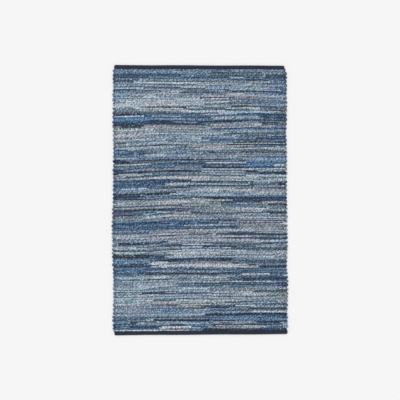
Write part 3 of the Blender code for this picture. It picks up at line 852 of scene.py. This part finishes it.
def strand_path(weave, chart, strand):
    """One continuous strand, as a row for each place on it: x, y, z, half width, half height, cloth.

    Even picks run right to left and odd picks left to right. The first strand is the outer one at
    the left turns, and the second at the right.
    """
    x = weave.nodes()
    column = np.clip(((x - SIDE_SHIFT + HALF_WIDTH) / CELL).astype(int), 0, CELLS - 1)
    warp = np.round(np.cos(math.pi * np.arange(len(x)) / 2)).astype(int)
    steps = np.arange(1, TURN_STEPS + 1)
    phase = math.pi * steps / (TURN_STEPS + 1)
    path = []

    def row_of(pick):
        half = strand if pick % 2 == 0 else 1 - strand
        pitch = (weave.furrow[pick] - weave.furrow[pick + 1]) / 2
        return 2 * pick + half, weave.furrow[pick] - (half + 0.5) * pitch, pitch

    for pick in range(PICKS):
        row, y, pitch = row_of(pick)
        over = warp * (-1) ** pick
        straight = np.stack([
            x,
            y,
            RAG_MIDDLE + RAG_LIFT * np.array(CLIMB)[over + 1],
            pitch * RAG_FULLNESS * np.array(SWELL)[over + 1],
            (weave.crowns[pick] - RAG_MIDDLE - RAG_LIFT) * (1.0 + HEIGHT_SWELL * over),
            chart[row, column],
        ], axis=1)
        path.append(straight if pick % 2 else straight[::-1])
        if pick == PICKS - 1:
            break
        side = pick % 2
        end = -1 if side else 0
        inner = int(strand != side)  # the inner strand lies a whole width further in
        next_row, next_y, next_pitch = row_of(pick + 1)
        half_width = 0.5 * (pitch[end] + next_pitch[end]) / 2
        inward = -1.0 if side else 1.0
        crown_x = weave.edge(side, pick) + inward * half_width * (1.0 + 2.0 * inner)
        turn = np.zeros((TURN_STEPS, 6))
        turn[:, 0] = x[end] + (crown_x - x[end]) * np.sin(phase) ** TURN_ROUNDNESS
        turn[:, 1] = (y[end] + next_y[end]) / 2 + (y[end] - next_y[end]) / 2 * np.cos(phase)
        turn[:, 2:5] = RAG_MIDDLE, half_width * TURN_FULLNESS[inner], TURN_HEIGHT
        turn[:, 5] = np.where(steps <= TURN_STEPS // 2, *chart[[row, next_row], column[end]])
        path.append(turn)
    return np.concatenate(path)


def weave_weft(weave, chart):
    """Every rag of both strands, gathered by cloth. A rag's ends tuck under its neighbours."""
    bundles = {name: Tubes(RAG_SIDES, RAG_BOXINESS) for name in NAMES}
    dice = np.random.RandomState(TONE_SEED)
    for strand in range(2):
        path = strand_path(weave, chart, strand)
        centre, width, height, cloth = path[:, :3], path[:, 3], path[:, 4], path[:, 5].astype(int)
        count = len(path)
        lumps = smooth_noise(dice, count, RAG_SIDES, reach=2)
        girth = smooth_noise(dice, count, 2, reach=3)
        twist = TWIST * smooth_noise(dice, count, 1, reach=9)[:, 0]
        folds = smooth_noise(dice, count, 1, reach=1)[:, 0]
        turned = TURNED * (folds - FOLD_CONTRAST * (np.roll(folds, 1) + np.roll(folds, -1)))
        # painted shade in the groove just inside the left turns, and darker towards the right selvedge
        turned += np.interp(centre[:, 0] - SIDE_SHIFT, *np.transpose(EDGE_SHADE_AND_DARKENING))
        wound = np.cumsum(dice.uniform(*WINDING, count))[:, None] + bundles["ash"].angles
        tones = turned[:, None] + REVERSED * np.sin(wound)
        sway = SWAY * smooth_noise(dice, count, 1, reach=5)
        ripple = 1.0 + LUMPINESS * np.clip(lumps, *LUMP_LIMITS)
        width = width * (1.0 + WIDTH_SPREAD * girth[:, 0])
        height = height * (1.0 + HEIGHT_SPREAD * girth[:, 1])
        along = np.gradient(centre[:, :2], axis=0)
        along /= np.linalg.norm(along, axis=1, keepdims=True)
        across = np.stack([-along[:, 1], along[:, 0], np.zeros(count)], axis=1)
        centre = centre + across * sway
        changes = np.flatnonzero(np.diff(cloth)) + 1
        for start, stop in zip(np.r_[0, changes], np.r_[changes, count]):
            low, high = max(start - 1, 0), min(stop + 1, count)
            taper = np.ones(high - low)
            taper[0] = taper[-1] = RAG_END
            part = slice(low, high)
            name = NAMES[cloth[start]]
            spread = STEADY_SPREAD if name in STEADY else TONE_SPREAD
            tone = MEAN_TONE + spread * dice.uniform(-1, 1) + tones[part]
            bundles[name].add(centre[part], across[part], width[part] * taper,
                              height[part] * taper, twist[part], ripple[part], tone)
    pieces = [bundle.build(f"rags_{name}", rag_material(name)) for name, bundle in bundles.items()]
    return [piece for piece in pieces]


# ---------------------------------------------------------------- frayed edges
def lay_strip(bundle, middle, angle, size, drop, bend, shade):
    """A strip of this length, half width and half height, whose ends drop into the cloth."""
    length, width, height = size
    taper = np.array([0.5, 1.0, 0.9, 0.4])
    spread = np.linspace(-1, 1, len(taper))
    along = np.array([math.cos(angle), math.sin(angle), 0.0])
    across = np.tile([-along[1], along[0], 0.0], (len(taper), 1))
    centre = np.array(middle) + 0.5 * length * spread[:, None] * along
    centre = centre + bend * length * (1.0 - spread[:, None] ** 2) * across
    centre[:, 2] -= drop * spread**2
    bundle.add(centre, across, width * taper, height * taper, shade=shade)


def scatter_frays(weave):
    """Torn edges that stand out of the cloth: pale shreds, each with a few loose threads."""
    dice = np.random.RandomState(SEED + 4)
    shreds, threads = Tubes(4), Tubes(3)
    nodes = weave.nodes()
    for first, last, start, stop, count in FRAYED:
        for _ in range(count):
            row = dice.uniform(first, last + 1)
            x = SIDE_SHIFT - HALF_WIDTH + CELL * dice.uniform(start, stop)
            pick = min(int(row / 2), PICKS - 1)
            lines = [np.interp(x, nodes, weave.furrow[p]) for p in (pick, pick + 1)]
            y = lines[0] + (row / 2 - pick) * (lines[1] - lines[0])
            y = min(max(y, FRAY_MARGIN - WOVEN_LENGTH / 2), WOVEN_LENGTH / 2 - FRAY_MARGIN)
            top = weave.crowns[pick]
            angle = SHRED_ANGLE * dice.normal()
            size = (dice.uniform(*FRAY_LENGTHS), dice.uniform(*SHRED_WIDTHS), SHRED_HEIGHT)
            lay_strip(shreds, (x, y, top), angle, size, SHRED_DROP, SHRED_BEND * dice.normal(),
                      dice.uniform(*FRAY_TONES))
            for _ in range(FRAY_THREADS):
                turned = angle + THREAD_ANGLE * dice.normal()
                near = (x + THREAD_SCATTER[0] * dice.normal(), y + THREAD_SCATTER[1] * dice.normal(),
                        top + THREAD_RISE)
                size = (dice.uniform(*FRAY_LENGTHS), THREAD_RADIUS, THREAD_RADIUS)
                lay_strip(threads, near, turned, size, THREAD_DROP, THREAD_BEND * dice.normal(),
                          dice.uniform(*FRAY_TONES))
    frayed = [shreds.build("frayed_edges", fray_material()),
              threads.build("loose_threads", fray_material())]
    return [piece for piece in frayed]


# ---------------------------------------------------------------- the warp
def warp_path(weave, x, number, wander):
    """A warp thread from the top end down: over a pick, under the next."""
    lines = np.array([np.interp(x, weave.nodes(), furrow) for furrow in weave.furrow])
    y = (lines[:-1] + lines[1:]) / 2
    y = np.concatenate([[WOVEN_LENGTH / 2 + WARP_TAIL], y, [-WOVEN_LENGTH / 2 - WARP_TAIL]])
    middle = (WARP_OVER + WARP_UNDER) / 2
    swing = (WARP_OVER - WARP_UNDER) / 2
    z = np.full(PICKS + 2, middle)
    z[1:-1] += swing * (-1.0) ** (np.arange(PICKS) + number + 1)
    return np.stack([np.full(len(y), x) + wander, y, z], axis=1)


def weave_warp(weave):
    dice = np.random.RandomState(SEED + 3)
    threads = Tubes(4)
    edges = Tubes(5)
    nodes = weave.nodes()
    count = PICKS + 2
    across = np.tile([1.0, 0.0, 0.0], (count, 1))
    for number in range(WARPS):
        wander = WARP_WANDER * smooth_noise(dice, count, 1, reach=8)[:, 0]
        path = warp_path(weave, nodes[2 * number], number, wander)
        threads.add(path, across, WARP_RADIUS, WARP_RADIUS)
    for side in range(2):
        for number, inset in enumerate(EDGE_WARPS):
            out = np.array([weave.edge(side, min(p, PICKS - 2)) for p in range(PICKS)])
            out = np.interp(np.linspace(0, PICKS - 1, count), np.arange(PICKS), out)
            window = np.ones(2 * EDGE_SMOOTHING + 1) / (2 * EDGE_SMOOTHING + 1)
            out = np.convolve(np.pad(out, EDGE_SMOOTHING, "edge"), window, "valid")
            x = out + (inset if side == 0 else -inset)
            path = warp_path(weave, float(x.mean()), number, 0.0)
            path[:, 0] = x
            path[:, 2] += EDGE_WARP_RISE
            edges.add(path, across, EDGE_WARP_RADIUS, EDGE_WARP_RADIUS)
    inner = threads.build("warp_threads", warp_material("warp_cotton", (96, 112, 132), (48, 60, 78)))
    outer = edges.build("edge_warps", warp_material("edge_warp_cotton", (52, 62, 84), (26, 32, 48)))
    return [inner, outer]


# ---------------------------------------------------------------- the cloth's ground
GROUND_INSET = 0.006  # from the mean selvedge
GROUND_TUCK = 0.007  # how much further in it lies inside a tape
GROUND_TONGUE = 0.0160  # how far it runs on into each tape
GROUND_LOW = 0.0020
GROUND_HIGH = 0.0034
GROUND_RELIEF = 0.0004  # how much thicker it is under a pick's crown, on each face
GROUND_COLUMNS = 24


def grid_solid(upper, lower, name, material):
    """A closed sheet between two grids of points, which have the same shape."""
    rows, columns = upper.shape[:2]
    points = np.concatenate([upper.reshape(-1, 3), lower.reshape(-1, 3)])
    under = rows * columns
    top = np.arange(under).reshape(rows, columns)
    bottom = top + under
    faces = [cells(top)[:, :, TURNED_OVER].reshape(-1, 4), cells(bottom).reshape(-1, 4)]
    rim = np.concatenate([top[0, :-1], top[:-1, -1], top[-1, :0:-1], top[:0:-1, 0]])
    after = np.roll(rim, -1)
    faces.append(np.stack([rim, after, after + under, rim + under], -1))
    quads = np.concatenate(faces)
    low, high = points.min(axis=0), points.max(axis=0)
    share = (points[:, :2] - low[:2]) / (high[:2] - low[:2]).max()
    places = share[quads] * (0.48, 0.98)
    places[len(faces[0]):, :, 0] += 0.5
    return place(name, make_mesh(name, points, quads, NO_TRIS, places, NO_TRI_MAP), material)


def weave_ground(weave):
    """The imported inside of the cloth, between the rags' upper and lower faces."""
    columns = np.linspace(0.0, 1.0, GROUND_COLUMNS)
    lines = weave.furrows(columns)
    upper = []
    for line in range(-1, 2 * PICKS + 2):
        inside = min(max(line, 0), 2 * PICKS)
        pick = inside // 2
        distance = (RUG_LENGTH - WOVEN_LENGTH) / 2 + WOVEN_LENGTH * inside / (2 * PICKS)
        left = SIDE_SHIFT - selvedge(distance, 1) + GROUND_INSET
        right = SIDE_SHIFT + selvedge(distance, 2) - GROUND_INSET
        y = lines[pick] if inside % 2 == 0 else (lines[pick] + lines[pick + 1]) / 2
        if line < 0 or line > 2 * PICKS:
            y = y + (GROUND_TONGUE if line < 0 else -GROUND_TONGUE)
            left, right = left + GROUND_TUCK, right - GROUND_TUCK
        z = GROUND_HIGH + (GROUND_RELIEF if inside % 2 else 0.0)
        points = [(left + share * (right - left), y[i], z) for i, share in enumerate(columns)]
        upper.append(points)
    upper = np.array(upper)
    lower = upper.copy()
    lower[:, :, 2] = GROUND_LOW - (upper[:, :, 2] - GROUND_HIGH)
    # It wears the charcoal cloth, so the chinks between the rags show dark: painted shade.
    ground = grid_solid(upper, lower, "woven_ground", rag_material("charcoal"))
    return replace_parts(ground, "woven_field")


# ---------------------------------------------------------------- the tapes
TAPE_STEP = 0.004  # between stations along the tape, and between its stitches
CORNER_RADIUS = 0.0070  # of the folded end's corner at each cut end
CORNER_STEPS = 5
FOLD_RADIUS = 0.0029
FOLD_STEPS = 7
FOLD_WANDER = 0.0009  # how far the folded end is drawn in
FOLD_WAVES = 2.5  # how many times it is drawn in along the tape
SEAM = 0.0038  # from the tape's inner edge to the line of stitches
SINK = 0.0007  # how far the stitches draw the tape down
DIP_BELOW = 0.0014  # how far to each side of them the lower face is drawn in
DIP_ABOVE = (0.0016, 0.0020)  # the same for the upper face, inwards and outwards
PUFFED = (0.011, 0.014)  # from the inner edge, where the upper face puffs up most
LIPS = (0.0001, 0.0002)  # how far the inner edges are drawn in, below and above
PUCKER = 0.00015  # how far the sinking and the puffing stray from station to station
SLACK = 0.0003  # the same for the upper inner edge
STITCH_REACH = 0.0015  # half a stitch
STITCH_RADIUS = 0.00035
STITCH_SLANT = 0.0002
STITCH_ROWS = (
    # (height of a stitch's middle, how far its ends lie below that)
    (BINDING_THICKNESS - 0.00045, 0.0004),
    (0.0004, -0.0003),
)
TAPE_PAINTED_LIGHT = (
    # (distance out from the tape's inner edge, how pale the tape is there): painted shade at its seam
    # and fold, and a painted highlight along its rounded crown
    (0.000, 0.15),
    (0.0055, 0.40),
    (0.011, 0.80),
    (0.0155, 0.60),
    (0.0208, 0.00),
)


def tape_section(mouth, fold, sink, puff, slack):
    """The tape's section, a U on its side with its mouth at the left: (along the rug, up)."""
    thick, seam = BINDING_THICKNESS, mouth + SEAM
    under = [(mouth, LIPS[0]), (seam - DIP_BELOW, 0.0), (seam, 0.5 * sink),
             (seam + DIP_BELOW, 0.0), (mouth + PUFFED[0], 0.0)]
    corner = [(FOLD_RADIUS * (1 - math.sin(a)), FOLD_RADIUS * (1 - math.cos(a)))
              for a in np.linspace(0, math.pi / 2, FOLD_STEPS + 1)]
    under += [(fold - back, up) for back, up in corner]
    over = [(fold - back, thick - down) for back, down in reversed(corner)]
    over += [(mouth + PUFFED[1], thick + puff), (mouth + PUFFED[0], thick + puff),
             (seam + DIP_ABOVE[1], thick + 0.5 * puff), (seam, thick - sink),
             (seam - DIP_ABOVE[0], thick - 0.3 * sink), (mouth + slack, thick - LIPS[1])]
    hollow = fold - TAPE_THICKNESS
    inside = [(mouth + slack, thick - TAPE_THICKNESS), (hollow, thick - TAPE_THICKNESS),
              (hollow, TAPE_THICKNESS), (mouth, TAPE_THICKNESS)]
    return under + over + inside


def build_tape(node, end):
    """The tape folded over one end, a little puckered along its seam."""
    low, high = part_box(node)
    turn = math.pi / 2 * np.arange(CORNER_STEPS) / CORNER_STEPS
    inset = CORNER_RADIUS * (1.0 - np.cos(turn))
    drawn = CORNER_RADIUS * (1.0 - np.sin(turn))
    steps = round((high.x - low.x - 2 * CORNER_RADIUS) / TAPE_STEP)
    x = np.linspace(low.x + CORNER_RADIUS, high.x - CORNER_RADIUS, steps + 1)
    seam = x
    x = np.concatenate([low.x + inset, x, high.x - inset[::-1]])
    share = (x - low.x) / (high.x - low.x)
    mouth = RUG_LENGTH / 2 - BINDING_DEPTH
    wander = FOLD_WANDER * np.sin(math.pi * FOLD_WAVES * share) ** 2
    wander += np.concatenate([drawn, np.zeros(steps + 1), drawn[::-1]])
    dice = np.random.RandomState(SEED + 5 + end)
    pucker = smooth_noise(dice, len(x), 3, reach=2)
    rings = []
    for i, (sink, puff, slack) in enumerate(pucker):
        section = tape_section(mouth, RUG_LENGTH / 2 - wander[i], SINK + PUCKER * sink,
                               PUCKER * puff, SLACK * abs(slack))
        rings.append([(x[i], end * y, z) for y, z in section])
    rings = np.array(rings)
    # Painted highlight along the tape's crown and painted shade at its seam and fold.
    shade = np.interp(np.abs(rings[:, :, 1]) - mouth, *np.transpose(TAPE_PAINTED_LIGHT))
    if end < 0:
        rings, shade = rings[:, ::-1], shade[:, ::-1]
    count, n = rings.shape[:2]
    points = rings.reshape(-1, 3)
    index = np.arange(count * n).reshape(count, n)
    quads = cells(closed(index))[:, :, TURNED_OVER].reshape(-1, 4)
    lengths = np.linalg.norm(rings[0] - np.roll(rings[0], -1, axis=0), axis=1)
    around = np.concatenate([[0.0], np.cumsum(lengths)])
    grid = np.stack([np.tile((x - x[0])[:, None], (1, n + 1)), np.tile(around, (count, 1))], -1)
    grid = grid / (x[-1] - x[0])
    places = cells(grid)[:, :, TURNED_OVER]
    mesh = make_mesh(node + "_tape", points, quads, NO_TRIS, places, NO_TRI_MAP)
    set_shade(mesh, shade)
    cap_ends(mesh, index)
    tape = place(node + "_tape", mesh, tape_material())
    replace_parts(tape, node)
    return tape, sew(node, seam, end * (mouth + SEAM))


def sew(node, x, y):
    """The stitches that hold a tape: one row on its upper face and one on its lower."""
    thread = Tubes(4)
    spread = np.linspace(-1, 1, 3)
    across = np.tile([0.0, 1.0, 0.0], (3, 1))
    for near in x:
        for height, sag in STITCH_ROWS:
            centre = np.stack([near + STITCH_REACH * spread, y + STITCH_SLANT * spread,
                               height - sag * np.abs(spread)], axis=1)
            thread.add(centre, across, STITCH_RADIUS, STITCH_RADIUS)
    material = warp_material(node + "_thread", (92, 98, 122), (48, 52, 74))
    return thread.build(node + "_stitches", material)


def cap_ends(mesh, index):
    """Closes the two cut ends of a tape."""
    body = bmesh.new()
    body.from_mesh(mesh)
    body.verts.ensure_lookup_table()
    for ring, way in ((index[0], 1), (index[-1], -1)):
        body.faces.new([body.verts[i] for i in ring[::way]])
    bmesh.ops.recalc_face_normals(body, faces=body.faces)
    body.to_mesh(mesh)
    body.free()
    mesh.shade_smooth()


# ---------------------------------------------------------------- setting
FLOOR_REACH = 30.0
FLOOR_DROP = 0.0002  # how far it lies below the rug's own underside
FLOOR_COLOUR = (0.9, 0.9, 0.9, 1.0)
SKY_STRENGTH = 0.68
KEY_STRENGTH = 1.25
KEY_WIDTH = 24  # degrees
KEY_TILT = (-28, -12)  # degrees about X and Y, so that it comes from above the top left corner
PHOTO_PIXELS = 400
PIXEL = 0.005158  # the size on the rug of one of the photograph's pixels
PHOTO_MIDDLE = (0.0005, 0.0006)  # the place on the rug in the middle of the photograph
LENS = 100.0  # in millimetres, as is the next
SENSOR = 36.0


def build_stage():
    mesh = bpy.data.meshes.new("floor")
    corners = [(FLOOR_REACH * x, FLOOR_REACH * y, -FLOOR_DROP)
               for x, y in ((-1, -1), (1, -1), (1, 1), (-1, 1))]
    mesh.from_pydata(corners, [], [(0, 1, 2, 3)])
    paint = Shader("pale_floor", roughness=1.0, sheen=0.0, specular=0.0)
    paint.surface.inputs["Base Color"].default_value = FLOOR_COLOUR
    mesh.materials.append(paint.material)
    add_object("floor", mesh)


def build_light():
    world = bpy.data.worlds.new("soft_light")
    bpy.context.scene.world = world
    world.use_nodes = True
    sky = world.node_tree.nodes["Background"]
    sky.inputs["Color"].default_value = (1.0, 1.0, 1.0, 1.0)
    sky.inputs["Strength"].default_value = SKY_STRENGTH
    lamp = bpy.data.lights.new("key", "SUN")
    lamp.energy = KEY_STRENGTH
    lamp.angle = math.radians(KEY_WIDTH)
    add_object("key", lamp).rotation_euler = (*map(math.radians, KEY_TILT), 0.0)


def build_camera():
    """Straight above the rug, far off through a long lens, as in the photograph."""
    data = bpy.data.cameras.new("camera")
    data.lens, data.sensor_width = LENS, SENSOR
    camera = add_object("camera", data)
    camera.location = (*PHOTO_MIDDLE, PHOTO_PIXELS * PIXEL * LENS / SENSOR)
    bpy.context.scene.camera = camera
    bpy.context.scene.view_settings.view_transform = "Standard"


# ---------------------------------------------------------------- put together
weave = Weave()
ground = weave_ground(weave)
rags = weave_weft(weave, rag_chart(weave))
warps = weave_warp(weave)
frays = scatter_frays(weave)
tapes = [build_tape("binding_top", 1), build_tape("binding_bottom", -1)]
build_stage()
build_light()
build_camera()
